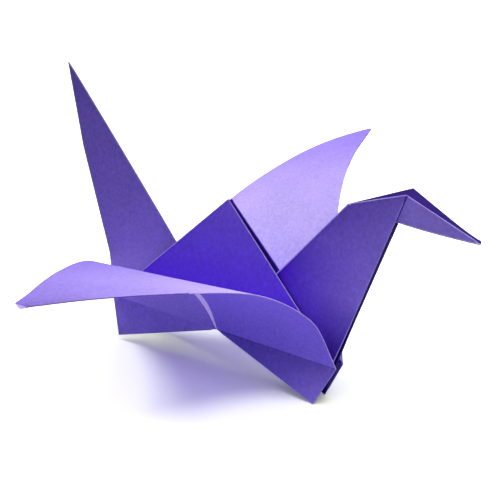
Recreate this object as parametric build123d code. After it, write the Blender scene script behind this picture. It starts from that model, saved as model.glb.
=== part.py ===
from build123d import *
import os
from dataclasses import dataclass
from math import atan2, cos, degrees, pi, radians, sin, tan

# An origami flapping bird, folded from one square sheet of paper.
# X runs from tail to head, Y across the wings and Z up. The near wing is on the -Y side.
# The folds are worked out about the crotch, the point under the hump where all four flaps meet,
# and the finished bird is then stood on its four feet.

# The sheet, in millimetres
sheet_side = 150.0
paper_thickness = 0.1

# Radius of a folded edge: one fold, and the closed edge of neck, beak and tail, where four layers meet
fold_radius = 0.13
spine_radius = 0.2

# How far each corner of the folds stands off the middle plane, in millimetres
chest_spread = 1.6
rump_spread = 4.3
breast_foot_spread = 3.2
tail_foot_spread = 5.6
tail_wall_spread = 4.0
neck_wall_spread = 0.7
crown_spread = 1.2

# The head, in millimetres along the folded edges of the neck
head_length = 28.4
near_crown_drop = 1.6

# The outer face of a wing: the slit between its two side flaps, how far it drifts towards the tail
# half way along the wing, and the blunt end of the tip
slit_width = 1.1
slit_mouth_width = 0.3
slit_drift = 2.0
wing_tip_width = 0.5

# How far the root of a wing runs past its hinge, into the fold
hinge_overlap = 0.3

# Angles above the level, in degrees
neck_angle = 52.0
tail_angle = 47.0
beak_angle = -3.0

# Half the angle at a corner of the folded base, a corner of the square halved twice
narrow_angle = 22.5
# The way that neck and tail point before they are reverse folded, straight down
hanging_angle = -90.0

# Where the slit is fully open, as a share of the wing's length from the hinge
slit_open_share = 0.12
# Where the tail's walls start to flare towards the feet, as a share of the outer edge from the tip
tail_flare_share = 0.75
# Where the neck's walls start to flare towards the feet, as a share of the front edge from the foot
neck_flare_share = 0.45
# How far from the crotch the lower edge starts to turn under, as a share of its length
turned_edge_share = 0.15


@dataclass
class WingBend:
    """How one wing is bent. Both wings have the same outline while they are flat."""

    side: int
    # Angle of the middle line above the level, at the hinge and at the tip
    root_angle: float
    tip_angle: float
    # Where along the wing the bend starts and ends, as shares of its length
    start_share: float
    end_share: float
    # How far the wing leans forward, and how its cross lines turn and tilt
    sweep_angle: float
    swing_angle: float
    mid_bank_angle: float
    tip_bank_angle: float


near_wing_bend = WingBend(
    side=-1, root_angle=70.4, tip_angle=11.7, start_share=-0.10, end_share=0.53,
    sweep_angle=8.5, swing_angle=35.0, mid_bank_angle=0.6, tip_bank_angle=-1.3,
)
far_wing_bend = WingBend(
    side=1, root_angle=68.2, tip_angle=9.4, start_share=-0.02, end_share=0.89,
    sweep_angle=5.9, swing_angle=20.2, mid_bank_angle=14.7, tip_bank_angle=0.7,
)
wing_stations = 15
neck_stations = 6

# The folded base, laid flat. Each of its four flaps is half a side long.
pressed_pair = 2 * paper_thickness
flap_length = sheet_side / 2
hinge_half = flap_length * tan(radians(narrow_angle))


def heading(rise):
    """Unit vector in the middle plane, at an angle above the level towards +X."""
    return Vector(cos(radians(rise)), 0, sin(radians(rise)))


def meeting(point_a, along_a, point_b, along_b):
    """Where two lines in the middle plane cross."""
    gap = point_b - point_a
    reach = (gap.X * along_b.Z - gap.Z * along_b.X) / (along_a.X * along_b.Z - along_a.Z * along_b.X)
    return point_a + along_a * reach


def between(start, end, share):
    """The point at a share of the way from one point to another."""
    return start + (end - start) * share


def mirrored(point):
    """The same point of the middle plane, on the tail side."""
    return Vector(-point.X, point.Y, point.Z)


def spread(point, side, distance):
    """A point of the middle plane moved sideways, to -Y for side -1 and to +Y for side 1."""
    return Vector(point.X, side * distance, point.Z)


def foot_place(rise):
    """Where the reverse fold of a leg meets its outer edge, towards +X.

    The fold halves the angle between the leg as it hung straight down and the leg as raised.
    """
    outer_edge = heading(hanging_angle - narrow_angle)
    return meeting(crotch, heading((rise + hanging_angle) / 2), chest_place, outer_edge)


# Places in the middle plane
crotch = Vector(0, 0, 0)
summit = Vector(0, 0, hinge_half)
chest_place = Vector(hinge_half, 0, 0)
rump_place = mirrored(chest_place)
breast_foot = foot_place(neck_angle)
tail_foot = mirrored(foot_place(tail_angle))
tail_tip = mirrored(heading(tail_angle) * flap_length)
nape = heading(neck_angle) * (flap_length - head_length)
beak_tip = nape + heading(beak_angle) * head_length

# The neck before its tip was turned down. The fold at the crown halves the angle between neck and beak.
neck_end = heading(neck_angle) * flap_length
crown = meeting(nape, heading((neck_angle + beak_angle) / 2), breast_foot, neck_end - breast_foot)
crown_share = (crown - breast_foot).length / (neck_end - breast_foot).length


def panel(points, thickness):
    """A flat stretch of paper between folds, with its middle surface through the points."""
    outline = Face(Wire.make_polygon(points, close=True))
    return extrude(outline, amount=thickness / 2, both=True)


def folded_edge(start, end, radius):
    """The small round bead that paper makes where it is folded over."""
    along = end - start
    return Solid.make_cylinder(radius, along.length, Plane(origin=start, z_dir=along.normalized()))


def hump(side):
    """One face of the hump, and the two walls behind it that run to the middle plane."""
    chest = spread(chest_place, side, chest_spread)
    rump = spread(rump_place, side, rump_spread)
    return [
        panel([summit, chest, rump], paper_thickness),
        panel([summit, chest, crotch], paper_thickness),
        panel([summit, rump, crotch], paper_thickness),
        folded_edge(summit, chest, fold_radius),
        folded_edge(summit, rump, fold_radius),
        folded_edge(chest, rump, fold_radius),
    ]


def lower_body(side):
    """The triangles under a wing's root: an outer and an inner layer, and the edge that turns under."""
    chest = spread(chest_place, side, chest_spread)
    rump = spread(rump_place, side, rump_spread)
    hinge_middle = between(chest, rump, 1 / 2)
    feet = [
        (chest, spread(breast_foot, side, breast_foot_spread)),
        (rump, spread(tail_foot, side, tail_foot_spread)),
    ]
    parts = []
    for corner, foot in feet:
        outer_turn = between(hinge_middle, foot, turned_edge_share)
        inner_turn = between(crotch, foot, turned_edge_share)
        parts += [
            panel([hinge_middle, corner, foot], paper_thickness),
            panel([crotch, corner, foot], paper_thickness),
            panel([outer_turn, inner_turn, foot], paper_thickness),
            folded_edge(corner, foot, fold_radius),
            folded_edge(outer_turn, foot, fold_radius),
            folded_edge(crotch, foot, fold_radius),
        ]
    return parts


def neck_wall(side, crown_place):
    """One wall of the neck, from the closed spine to the front edge.

    The walls stay close together inside the body, and flare only below it, to the feet.
    """
    half = Vector(0, paper_thickness, 0)
    sections = []
    for station in range(neck_stations + 1):
        share = station / neck_stations
        flare = max(0, 1 - share / neck_flare_share) ** 2
        distance = neck_wall_spread + (crown_spread - neck_wall_spread) * share
        distance += (breast_foot_spread - neck_wall_spread) * flare
        back = between(crotch, nape, share)
        front = spread(between(breast_foot, crown_place, share), side, distance)
        tip = front + (front - back).normalized() * paper_thickness
        outline = [back - half, front - half, tip, front + half, back + half]
        sections.append(Wire.make_polygon(outline, close=True))
    return Solid.make_loft(sections, ruled=True)


def neck_and_beak(side, crown_drop):
    """One wall of the neck and one of the beak, each two layers pressed together."""
    front_edge = neck_end - breast_foot
    crown_place = breast_foot + front_edge * crown_share - front_edge.normalized() * crown_drop
    corner = spread(crown_place, side, crown_spread)
    return [
        neck_wall(side, crown_place),
        panel([nape, corner, beak_tip], pressed_pair),
        folded_edge(nape, corner, fold_radius),
        folded_edge(corner, beak_tip, fold_radius),
    ]


def tail(side):
    """One wall of the tail, two layers pressed together, flared where it comes down to the foot."""
    foot = spread(tail_foot, side, tail_foot_spread)
    flare_place = between(tail_tip, tail_foot, tail_flare_share)
    flare = spread(flare_place, side, tail_wall_spread * tail_flare_share)
    return [
        panel([crotch, flare, tail_tip], pressed_pair),
        panel([crotch, foot, flare], pressed_pair),
        folded_edge(foot, flare, fold_radius),
        folded_edge(flare, tail_tip, fold_radius),
    ]


def spines():
    """The closed edges in the middle plane: the backs of neck and tail, and the beak's lower edge."""
    return [
        folded_edge(crotch, nape, spine_radius),
        folded_edge(nape, beak_tip, spine_radius),
        folded_edge(crotch, tail_tip, spine_radius),
    ]


def eased(share):
    """Runs from 0 to 1 with a level start and a level end."""
    held = min(max(share, 0), 1)
    return held * held * (3 - 2 * held)


def wing_section(bend, middle, outward, share):
    """The wing cut across: the flap, and under it two side flaps with the slit between them."""
    root_swing = degrees(atan2(rump_spread - chest_spread, 2 * hinge_half))
    swing = radians(root_swing + (bend.swing_angle - root_swing) * share)
    bank = radians(bend.mid_bank_angle * sin(pi * share) + bend.tip_bank_angle * share)
    across = Vector(cos(swing) * cos(bank), -bend.side * sin(swing) * cos(bank), sin(bank))
    inward = across.cross(outward).normalized() * bend.side
    half = max(hinge_half * (1 - share), wing_tip_width / 2)
    opening = min(share / slit_open_share, 1) * (1 - share)
    slit_half = (slit_mouth_width + (slit_width - slit_mouth_width) * opening) / 2
    slit_half = min(slit_half, half / 2)
    slit_place = -slit_drift * sin(pi * share)
    outline = [
        (-half, paper_thickness),
        (half, paper_thickness),
        (half + paper_thickness, 0),
        (half, -paper_thickness),
        (slit_place + slit_half, -paper_thickness),
        (slit_place + slit_half, 0),
        (slit_place - slit_half, 0),
        (slit_place - slit_half, -paper_thickness),
        (-half, -paper_thickness),
        (-half - paper_thickness, 0),
    ]
    return Wire.make_polygon([middle + across * along + inward * lift for along, lift in outline], close=True)


def wing_heading(bend, share):
    """The way that a wing's middle line runs, at a share of the wing's length."""
    turn = eased((share - bend.start_share) / (bend.end_share - bend.start_share))
    rise = radians(bend.root_angle + (bend.tip_angle - bend.root_angle) * turn)
    lean = radians(bend.sweep_angle * share)
    return Vector(sin(lean), bend.side * cos(lean) * cos(rise), cos(lean) * sin(rise))


def wing(bend):
    """One bent wing, lofted through sections at even steps along its middle line."""
    step = flap_length / wing_stations
    middle = Vector(0, bend.side * (chest_spread + rump_spread) / 2, 0)
    outward = wing_heading(bend, 0)
    sections = [wing_section(bend, middle - outward * hinge_overlap, outward, 0)]
    for station in range(1, wing_stations + 1):
        share = station / wing_stations
        onward = wing_heading(bend, share)
        middle = middle + (outward + onward) * (step / 2)
        outward = onward
        sections.append(wing_section(bend, middle, outward, share))
    return Solid.make_loft(sections)


def joined(pieces):
    """Pieces of paper that meet at their folds, as one piece."""
    return pieces[0].fuse(*pieces[1:])


def flapping_bird():
    """The folded sheet as one solid, stood on its feet with the origin under its middle."""
    stretches = []
    for side, crown_drop in ((-1, near_crown_drop), (1, 0)):
        stretches += [hump(side), lower_body(side), neck_and_beak(side, crown_drop), tail(side)]
    stretches.append(spines())
    folded = joined(stretches[0])
    for stretch in stretches[1:]:
        folded = folded.fuse(joined(stretch))
    for bend in (near_wing_bend, far_wing_bend):
        folded = folded.fuse(wing(bend))
    lean_back = degrees(atan2(tail_foot.Z - breast_foot.Z, breast_foot.X - tail_foot.X))
    standing = folded.rotate(Axis.Y, -lean_back)
    box = standing.bounding_box()
    return standing.translate(Vector(-box.center().X, -box.center().Y, -box.min.Z))


folded_sheet = flapping_bird()
os.makedirs("parts", exist_ok=True)
export_step(folded_sheet, "parts/folded_sheet.step")
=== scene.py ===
"""An origami flapping bird, one sheet of violet paper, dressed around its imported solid.

Every stretch of paper between two folds is a thin sheet with rounded rims, and every folded edge is a
small round bead. The same folds as in the solid place them. Sizes are in metres and angles in degrees.
X runs from tail to head, Y across the wings and Z up. The near wing is on the -Y side.
"""

import logging
from dataclasses import dataclass, field
from enum import Enum
from math import atan2, cos, degrees, pi, radians, sin, tan

import bpy
from mathutils import Matrix, Vector
from mathutils.geometry import interpolate_bezier


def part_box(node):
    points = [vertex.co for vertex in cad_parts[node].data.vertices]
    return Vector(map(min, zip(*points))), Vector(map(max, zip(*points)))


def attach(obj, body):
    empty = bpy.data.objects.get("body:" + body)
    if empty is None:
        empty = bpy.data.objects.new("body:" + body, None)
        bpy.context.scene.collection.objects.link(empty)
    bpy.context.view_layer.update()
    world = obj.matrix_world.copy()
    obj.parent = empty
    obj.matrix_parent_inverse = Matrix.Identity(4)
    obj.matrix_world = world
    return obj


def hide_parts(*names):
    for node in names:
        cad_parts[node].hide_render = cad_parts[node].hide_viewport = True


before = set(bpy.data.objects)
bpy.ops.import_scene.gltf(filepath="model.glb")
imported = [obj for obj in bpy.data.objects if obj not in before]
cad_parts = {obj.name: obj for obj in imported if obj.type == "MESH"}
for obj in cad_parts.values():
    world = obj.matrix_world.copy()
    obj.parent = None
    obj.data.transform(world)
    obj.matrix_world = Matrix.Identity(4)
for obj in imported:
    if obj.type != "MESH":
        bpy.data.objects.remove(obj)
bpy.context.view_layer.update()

log = logging.getLogger("flapping_bird")

MM = 0.001
SHEET_NODE = "folded_sheet"
# A smooth curve's handles are this part of the way between the points before and after
HANDLE_PART = 6
# The directions that are kept at each point of a stretch of paper
DIRECTIONS = ("across", "facing", "onward")


class Socket:
    """An output of a node. Python's operators on it add Math nodes to its tree."""

    def __init__(self, tree: "Tree", output: bpy.types.NodeSocket) -> None:
        """Keeps the output and the tree that it belongs to."""
        self.tree = tree
        self.output = output

    def sibling(self, name: str) -> "Socket":
        """The output of that name on the same node."""
        return Socket(self.tree, next(o for o in self.output.node.outputs if o.enabled and o.name == name))

    def math(self, operation: str, *others: "Socket | float") -> "Socket":
        """This value, and others if they are given, in a Math node with that operation."""
        return self.tree.math(operation, self, *others)

    def __add__(self, other: "Socket | float") -> "Socket":
        """self + other, or other + self."""
        return self.tree.math("ADD", self, other)

    def __sub__(self, other: "Socket | float") -> "Socket":
        """self - other."""
        return self.tree.math("SUBTRACT", self, other)

    def __rsub__(self, other: float) -> "Socket":
        """other - self."""
        return self.tree.math("SUBTRACT", other, self)

    def __mul__(self, other: "Socket | float") -> "Socket":
        """self * other, or other * self."""
        return self.tree.math("MULTIPLY", self, other)

    __radd__ = __add__
    __rmul__ = __mul__

    def __truediv__(self, other: "Socket | float") -> "Socket":
        """self / other."""
        return self.tree.math("DIVIDE", self, other)

    def __rtruediv__(self, other: float) -> "Socket":
        """other / self."""
        return self.tree.math("DIVIDE", other, self)

    def clamped(self) -> "Socket":
        """The value, held between 0 and 1."""
        return self.tree.node("ShaderNodeClamp", inputs={"Value": self})


class Tree:
    """A node tree that is written as Python expressions."""

    def __init__(self, tree: bpy.types.NodeTree) -> None:
        """Wraps a tree."""
        self.tree = tree

    @classmethod
    def of(cls, owner: bpy.types.Material | bpy.types.World) -> "Tree":
        """Empties the shader tree of a material or the world.

        Args:
            owner: The material or the world.

        Returns:
            Its tree.
        """
        owner.use_nodes = True
        owner.node_tree.nodes.clear()
        return cls(owner.node_tree)

    def end(self, kind: str, result: Socket) -> None:
        """Links a result to the first socket of a new output node of that kind."""
        self.tree.links.new(result.output, self.tree.nodes.new(kind).inputs[0])

    def node(
        self,
        kind: str,
        settings: dict[str, object] | None = None,
        inputs: dict[str | int, object] | None = None,
        output: str | None = None,
    ) -> Socket:
        """Adds one node.

        Args:
            kind: The node's type.
            settings: Its own settings, set before its sockets.
            inputs: Values or links of its inputs, by name or number.
            output: The name of the output to return, or None for the first.

        Returns:
            The output.
        """
        node = self.tree.nodes.new(kind)
        for name, value in (settings or {}).items():
            setattr(node, name, value)
        shown = [socket for socket in node.inputs if socket.enabled]
        for key, value in (inputs or {}).items():
            socket = shown[key] if isinstance(key, int) else next(s for s in shown if s.name == key)
            if isinstance(value, Socket):
                self.tree.links.new(value.output, socket)
            else:
                socket.default_value = value
        outputs = [socket for socket in node.outputs if socket.enabled]
        return Socket(self, outputs[0] if output is None else next(o for o in outputs if o.name == output))

    def math(self, operation: str, *values: "Socket | float") -> Socket:
        """Adds a Math node with this operation on these values."""
        return self.node("ShaderNodeMath", {"operation": operation}, dict(enumerate(values)))

    def vector_math(self, operation: str, *values: object) -> Socket:
        """Adds a Vector Math node with this operation on these vectors."""
        return self.node("ShaderNodeVectorMath", {"operation": operation}, dict(enumerate(values)))

    def scaled(self, vector: Socket, factor: Socket | float) -> Socket:
        """A vector times a number."""
        return self.node("ShaderNodeVectorMath", {"operation": "SCALE"}, {"Vector": vector, "Scale": factor})

    def mixed(self, kind: str, factor: Socket | float, a: object, b: object) -> Socket:
        """Adds a Mix node.

        Args:
            kind: FLOAT, VECTOR or RGBA.
            factor: How much of b there is.
            a: The value at factor 0.
            b: The value at factor 1.

        Returns:
            The mix.
        """
        settings = {"data_type": kind, "clamp_factor": False}
        return self.node("ShaderNodeMix", settings, {"Factor": factor, "A": a, "B": b})


class GeometryTree(Tree):
    """A Geometry Nodes tree with named inputs. It ends in Realize Instances and Set Material."""

    def __init__(self, name: str, numbers: dict[str, str]) -> None:
        """Makes the tree's interface.

        Args:
            name: The tree's name.
            numbers: The kind of each input besides the geometry and the material, by name.
        """
        super().__init__(bpy.data.node_groups.new(name, "GeometryNodeTree"))
        sockets = {"Geometry": "Geometry", **numbers, "Paper": "Material"}
        self.identifiers = {}
        for label, kind in sockets.items():
            made = self.tree.interface.new_socket(
                name=label, in_out="INPUT", socket_type=f"NodeSocket{kind}"
            )
            self.identifiers[label] = made.identifier
        self.tree.interface.new_socket(name="Geometry", in_out="OUTPUT", socket_type="NodeSocketGeometry")
        self.entry = self.node("NodeGroupInput")

    def given(self, name: str) -> Socket:
        """The input of that name."""
        return self.entry.sibling(name)

    def store(self, geometry: Socket, **numbers: Socket | float) -> Socket:
        """Keeps numbers on each point, for the finish to read.

        Args:
            geometry: What they are kept on.
            numbers: The numbers, by the name of their attribute.

        Returns:
            The geometry with the attributes.
        """
        for name, value in numbers.items():
            inputs = {"Geometry": geometry, "Name": name, "Value": value}
            geometry = self.node("GeometryNodeStoreNamedAttribute", {"data_type": "FLOAT"}, inputs)
        return geometry

    def close(self, geometry: Socket) -> None:
        """Realizes what is left, gives it the paper and ends the tree.

        Args:
            geometry: The finished geometry.
        """
        real = self.node("GeometryNodeRealizeInstances", inputs={"Geometry": geometry})
        inputs = {"Geometry": real, "Material": self.given("Paper")}
        self.end("NodeGroupOutput", self.node("GeometryNodeSetMaterial", inputs=inputs))

    def grown(self, base: bpy.types.Mesh, values: dict[str, object], name: str) -> bpy.types.Mesh:
        """Runs the tree on a base mesh.

        Args:
            base: The mesh that the tree starts from.
            values: A value for each input besides the geometry.
            name: The name of the result.

        Returns:
            The result as a plain mesh.
        """
        carrier = bpy.data.objects.new(name, base)
        bpy.context.scene.collection.objects.link(carrier)
        modifier = carrier.modifiers.new(name, "NODES")
        modifier.node_group = self.tree
        for label, value in values.items():
            modifier[self.identifiers[label]] = value
        graph = bpy.context.evaluated_depsgraph_get()
        seen = carrier.evaluated_get(graph)
        made = bpy.data.meshes.new_from_object(seen, preserve_all_data_layers=True, depsgraph=graph)
        bpy.data.objects.remove(carrier)
        return made


class SheetTree(GeometryTree):
    """A thin sheet of paper between two rails, with straight lines across it and rounded rims.

    The base mesh holds the rails one after the other, with as many points each. Its attributes say
    which way the sheet runs and looks at each point, and how deep and bright its painted shade is there.
    """

    RIM_STEPS = 2
    RIPPLE_DETAIL = 1.0
    RIPPLE_ROUGHNESS = 0.4
    # Points closer than this are one point
    WELD_DISTANCE = 1e-7
    COUNTS = ("Rail Points", "Strips", "Stations")
    NUMBERS = (
        "Thickness", "Lift", "Ripple", "Ripple Size", "Length", "Crease", "Back Reverse", "Back Shade",
        "Seed",
    )

    def __init__(self) -> None:
        """Builds the tree."""
        counts = {name: "Int" for name in self.COUNTS}
        super().__init__("sheet_between_rails", counts | {name: "Float" for name in self.NUMBERS})
        rim = float(self.RIM_STEPS)
        strips = self.given("Strips")
        stations = self.given("Stations")
        girth = strips * 2 + 2 * rim
        length = stations + 2 * rim
        grid = self.node("GeometryNodeMeshGrid", inputs={
            "Size X": 1.0, "Size Y": 1.0, "Vertices X": girth + 1, "Vertices Y": length + 1,
        })
        flat = self.node("GeometryNodeInputPosition")
        parts = self.node("ShaderNodeSeparateXYZ", inputs={"Vector": flat})
        round_place = self.math("ROUND", (parts + 0.5) * girth)
        along_place = self.math("ROUND", (parts.sibling("Y") + 0.5) * length)

        # Round the section: the front, a rim, the back and the other rim
        front = (round_place / strips).clamped()
        back = ((round_place - strips - rim) / strips).clamped()
        share_across = front - back
        rim_b = ((round_place - strips) / rim).clamped()
        rim_a = ((round_place - strips * 2 - rim) / rim).clamped()
        turn = pi / 2 - (rim_a + rim_b) * pi

        # Along the sheet: a rounded start, the stations and a rounded end
        share_along = ((along_place - rim) / stations).clamped()
        start_turn = (along_place / rim).clamped() * (pi / 2)
        end_turn = ((along_place - rim - stations) / rim).clamped() * (pi / 2)
        swell = start_turn.math("SINE") * end_turn.math("COSINE")
        overhang = end_turn.math("SINE") - start_turn.math("COSINE")

        half_thick = self.given("Thickness") / 2
        rail_a = self._on_rail(flat, share_along)
        rail_b = self._on_rail(flat, share_along, self.given("Rail Points"))
        across, facing, onward = (self._direction(name, share_along) for name in DIRECTIONS)
        width = self.vector_math("DISTANCE", rail_a, rail_b)
        middle = self.mixed("VECTOR", share_across, rail_a, rail_b)

        # How far a point is from the nearest border, and the gentle unevenness of paper between them
        across_width = share_across * width
        nearest_side = across_width.math("MINIMUM", (1.0 - share_across) * width)
        from_start = share_along * self.given("Length")
        from_end = (1.0 - share_along) * self.given("Length")
        nearest = nearest_side.math("MINIMUM", from_start.math("MINIMUM", from_end))
        calm = (nearest / self.given("Ripple Size")).clamped()
        calm = calm * calm * (3.0 - 2.0 * calm)
        noise = self.node("ShaderNodeTexNoise", {"noise_dimensions": "4D"}, {
            "Vector": middle, "W": self.given("Seed"), "Scale": 1.0 / self.given("Ripple Size"),
            "Detail": self.RIPPLE_DETAIL, "Roughness": self.RIPPLE_ROUGHNESS,
        })
        ripple = (noise - 0.5) * 2.0 * self.given("Ripple") * calm
        lift = self.given("Lift") + ripple + half_thick * turn.math("SINE") * swell

        place = self.vector_math("ADD", middle, self.scaled(facing, lift))
        sideways = half_thick * turn.math("COSINE") * swell
        place = self.vector_math("ADD", place, self.scaled(across, sideways))
        place = self.vector_math("ADD", place, self.scaled(onward, half_thick * overhang))

        facing_up = (turn.math("SINE") + 1.0) / 2.0
        # Painted light and shade: each point's painted shade depth, brightness and crease shading, darker
        # still on the back where Back Shade says
        shade = self._number("shade", share_across, share_along)
        sheet = self.store(
            grid,
            crease_distance=from_start,
            crease=self.given("Crease"),
            reverse=self.given("Back Reverse") * (1.0 - facing_up),
            dye_depth=self._number("dye_depth", share_across, share_along),
            shade=shade * self.mixed("FLOAT", facing_up, self.given("Back Shade"), 1.0),
        )
        sheet = self.node("GeometryNodeSetPosition", inputs={"Geometry": sheet, "Position": place})
        weld = {"Geometry": sheet, "Distance": self.WELD_DISTANCE}
        self.close(self.node("GeometryNodeMergeByDistance", inputs=weld))

    def _on_rail(
        self, value: Socket, share: Socket, first: Socket | float = 0.0, kind: str = "VECTOR",
    ) -> Socket:
        """A value of the base mesh, read at a share of the way along a rail.

        Args:
            value: The field to read.
            share: The share of the way.
            first: The number of the rail's first point.
            kind: VECTOR or FLOAT.

        Returns:
            The value, mixed from the two nearest points.
        """
        steps = share * (self.given("Rail Points") - 1.0)
        whole = steps.math("FLOOR")
        settings = {"data_type": "FLOAT_VECTOR" if kind == "VECTOR" else kind, "clamp": True}
        ends = []
        for point in (whole + first, whole + first + 1.0):
            index = self.node("FunctionNodeFloatToInt", {"rounding_mode": "FLOOR"}, {0: point})
            inputs = {"Geometry": self.given("Geometry"), "Value": value, "Index": index}
            ends.append(self.node("GeometryNodeSampleIndex", settings, inputs))
        return self.mixed(kind, steps - whole, *ends)

    def _direction(self, name: str, share: Socket) -> Socket:
        """A direction kept on the first rail, read at a share of the way along it."""
        kept = self.node("GeometryNodeInputNamedAttribute", {"data_type": "FLOAT_VECTOR"}, {"Name": name})
        return self.vector_math("NORMALIZE", self._on_rail(kept, share))

    def _number(self, name: str, share_across: Socket, share_along: Socket) -> Socket:
        """A number kept on both rails.

        Args:
            name: The attribute's name.
            share_across: The share of the way from the first rail to the second.
            share_along: The share of the way along both.

        Returns:
            The number there.
        """
        kept = self.node("GeometryNodeInputNamedAttribute", {"data_type": "FLOAT"}, {"Name": name})
        rails = (0.0, self.given("Rail Points"))
        return self.mixed(
            "FLOAT", share_across, *(self._on_rail(kept, share_along, first, "FLOAT") for first in rails),
        )


class BeadTree(GeometryTree):
    """The small round bead that paper makes where it is folded over, along a path."""

    ROUND_STEPS = 16

    def __init__(self) -> None:
        """Builds the tree."""
        numbers = {name: "Float" for name in ("Radius", "Painted Shade Depth", "Shade", "Worn")}
        super().__init__("folded_edge", numbers)
        line = self.node("GeometryNodeMeshToCurve", inputs={"Mesh": self.given("Geometry")})
        section = self.node("GeometryNodeCurvePrimitiveCircle", inputs={
            "Resolution": self.ROUND_STEPS, "Radius": self.given("Radius"),
        })
        bead = self.node("GeometryNodeCurveToMesh", inputs={
            "Curve": line, "Profile Curve": section, "Fill Caps": True,
        })
        # Painted light and shade on the bead: its painted shade depth and brightness, and how pale it is
        # painted, as wear and as a highlight
        self.close(self.store(
            bead, dye_depth=self.given("Painted Shade Depth"), shade=self.given("Shade"), worn=self.given("Worn"),
        ))


class Layers(Enum):
    """How many layers of the sheet lie in one stretch of paper, pressed flat on each other."""

    ONE = 1
    TWO = 2


class Side(Enum):
    """Which side of the middle plane a part of the bird is on."""

    NEAR = -1
    FAR = 1


@dataclass(frozen=True)
class PaperSheet:
    """The square of paper, and how it takes a fold."""

    side: float = 150 * MM
    thickness: float = 0.1 * MM
    fold_radius: float = 0.13 * MM
    wing_fold_radius: float = 0.1 * MM
    spine_radius: float = 0.2 * MM
    # How far each corner of the folds stands off the middle plane
    summit_spread: float = 0.3 * MM
    chest_spread: float = 1.6 * MM
    rump_spread: float = 4.3 * MM
    breast_foot_spread: float = 3.2 * MM
    tail_foot_spread: float = 5.6 * MM
    neck_wall_spread: float = 0.7 * MM
    crown_spread: float = 1.2 * MM
    # The head, along the folded edges of the neck
    head_length: float = 28.4 * MM
    near_crown_drop: float = 1.0 * MM
    # Where the hand-folded corners miss their places: the tops of the hump lie towards the tail, the
    # far breast foot lies inwards, and the near tail foot stands a little behind and off the ground
    near_summit_drift: float = 1.0 * MM
    far_summit_drift: float = 0.5 * MM
    far_breast_foot_drift: float = 0.8 * MM
    near_tail_foot_drift: float = 1.1 * MM
    near_tail_foot_rise: float = 0.95 * MM
    # How far the very tips of the flaps are worn back
    tip_wear: float = 0.06 * MM
    # How uneven the paper is between its folds, and over what length
    ripple: float = 0.06 * MM
    ripple_size: float = 14 * MM
    # Angles above the level, half the angle at a corner of the folded base, and a corner of the sheet
    neck_angle: float = 52.0
    tail_angle: float = 47.0
    beak_angle: float = -3.0
    narrow_angle: float = 22.5
    hanging_angle: float = -90.0
    square_angle: float = 90.0

    @property
    def flap_length(self) -> float:
        """The length of each of the four flaps of the folded base."""
        return self.side / 2

    @property
    def hinge_half(self) -> float:
        """Half the width of a flap at its root."""
        return self.flap_length * tan(radians(self.narrow_angle))


def heading(angle: float) -> Vector:
    """Unit vector in the middle plane, at an angle above the level towards +X."""
    return Vector((cos(radians(angle)), 0, sin(radians(angle))))


def spread(point: Vector, side: Side, distance: float) -> Vector:
    """A point of the middle plane moved sideways by a distance."""
    return Vector((point.x, side.value * distance, point.z))


def shares(steps: int) -> list[float]:
    """Even shares from 0 to 1, one more than the steps between them."""
    return [step / steps for step in range(steps + 1)]


def line(start: Vector, end: Vector, steps: int = 1) -> list[Vector]:
    """Points from one place to another, with even steps between them."""
    return [start.lerp(end, share) for share in shares(steps)]


def smooth_run(points: list[Vector], finer: int) -> list[Vector]:
    """Points along a smooth curve through the given ones.

    Args:
        points: The points to run through, at even steps.
        finer: How many steps the curve takes from each point to the next.

    Returns:
        The points of the curve.
    """
    held = [points[0] * 2 - points[1], *points, points[-1] * 2 - points[-2]]
    run = []
    for before, start, end, after in zip(held, held[1:], held[2:], held[3:]):
        start_handle = start + (end - before) / HANDLE_PART
        end_handle = end - (after - start) / HANDLE_PART
        run += interpolate_bezier(start, start_handle, end_handle, end, finer + 1)[:-1]
    return [*run, points[-1]]


def eased(share: float) -> float:
    """Runs from 0 to 1 with a level start and a level end."""
    held = min(max(share, 0), 1)
    return held * held * (3 - 2 * held)


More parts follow.
